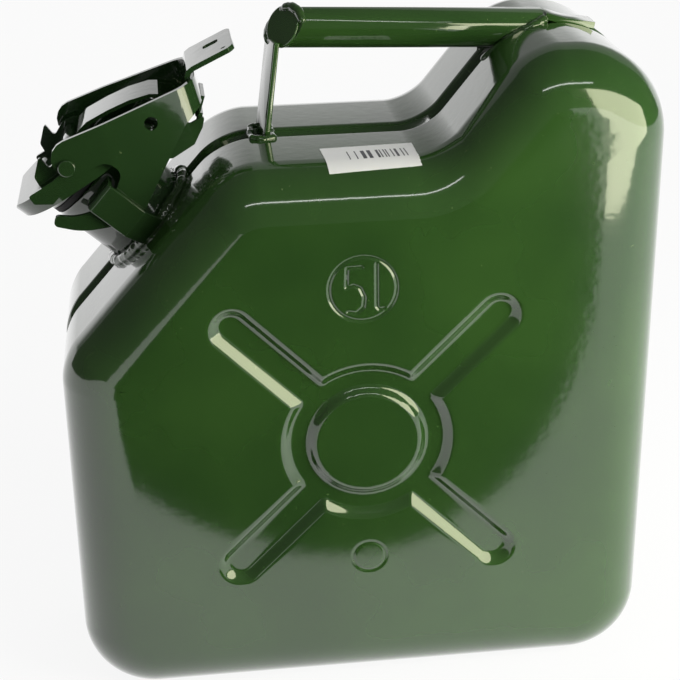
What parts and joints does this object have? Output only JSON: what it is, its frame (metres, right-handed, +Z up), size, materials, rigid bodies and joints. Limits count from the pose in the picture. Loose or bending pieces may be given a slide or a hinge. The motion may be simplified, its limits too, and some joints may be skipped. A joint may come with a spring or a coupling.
{
  "type": "metal jerry can",
  "caption": "Small pressed-steel fuel can with a sunken seam, pressed cross, tubular carry handle and a lever-locked cap hinged on the slanting neck",
  "frame": {"origin": "centre of the bounding box in plan, at the height of the base", "axes": "+Z up, +X towards the raised rear end, neck on the -X side, large faces square to Y"},
  "size_m": [0.2486, 0.117, 0.2779],
  "materials": {
    "body_enamel": "glossy dark green stoving enamel on pressed steel",
    "fitting_enamel": "glossy dark green enamel on welded steel fittings",
    "handle_enamel": "glossy dark green enamel on the handle",
    "closure_enamel": "glossy dark green enamel on the sheet-steel closure",
    "weld_enamel": "enamel over rippled weld bead",
    "pin_enamel": "enamel over turned pins and rivets",
    "inner_enamel": "thin green enamel inside the can and cap",
    "gasket_rubber": "black fuel-proof rubber"
  },
  "bodies": {
    "can": {"front_shell": "body_enamel", "back_shell": "body_enamel", "seam_weld": "weld_enamel", "neck_tube": "fitting_enamel", "neck_weld": "weld_enamel", "breather_tube": "inner_enamel", "breather_clip": "inner_enamel", "front_lug": "fitting_enamel", "back_lug": "fitting_enamel", "hinge_ear_front": "fitting_enamel", "hinge_ear_back": "fitting_enamel", "handle_tube": "handle_enamel", "handle_post": "handle_enamel", "handle_tongue": "handle_enamel", "handle_front_weld": "weld_enamel", "handle_rear_weld": "weld_enamel", "post_foot_weld": "weld_enamel", "hinge_pin": "pin_enamel"},
    "cap": {"cap_carrier": "closure_enamel", "cap_plate": "inner_enamel", "cap_gasket": "gasket_rubber", "cap_rivet": "pin_enamel", "pivot_sleeve": "pin_enamel", "lever_pin": "pin_enamel"},
    "lever": {"lever": "closure_enamel"}
  },
  "joints": [
    {"name": "cap_hinge", "type": "hinge", "parent": "can", "child": "cap", "pos_m": [-0.07173, 0, 0.23289], "axis": [0, 1, 0], "range_deg": [0, 75]},
    {"name": "lever_pivot", "type": "hinge", "parent": "cap", "child": "lever", "pos_m": [-0.10263, 0, 0.22345], "axis": [0, 1, 0], "range_deg": [-100, 0]}
  ],
  "couplings": [
    {"joint": "lever_pivot", "follows": "cap_hinge", "ratio": -1.3333}
  ]
}
